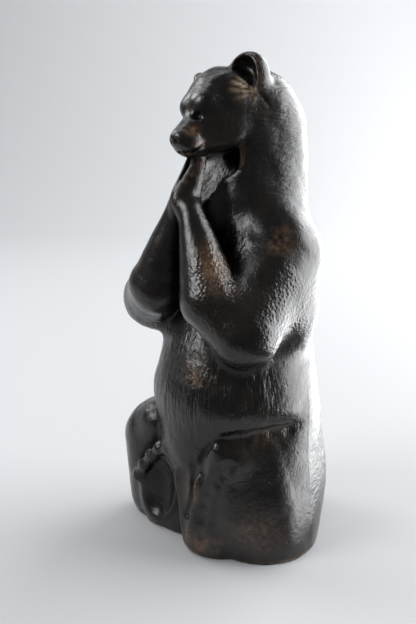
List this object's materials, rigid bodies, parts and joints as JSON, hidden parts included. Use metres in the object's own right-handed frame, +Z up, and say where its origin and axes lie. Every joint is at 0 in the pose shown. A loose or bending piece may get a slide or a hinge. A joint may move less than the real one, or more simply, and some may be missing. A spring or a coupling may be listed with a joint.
{
  "type": "seated bear statuette",
  "caption": "Seated bear with forepaws pressed together under its chin and soles turned forward, cast in one piece with a dark, glossy bronze-brown finish.",
  "frame": {"origin": "middle of the underside's bounding box, on the surface that the statuette stands on", "axes": "+Z up, the bear faces -Y, its left side is +X"},
  "size_m": [0.0876, 0.082, 0.1971],
  "materials": {
    "patinated_resin": "dark brown-black patina under a gloss lacquer, rubbed to bronze brown on the high points"
  },
  "bodies": {
    "root": {"bear": "patinated_resin"}
  },
  "joints": []
}
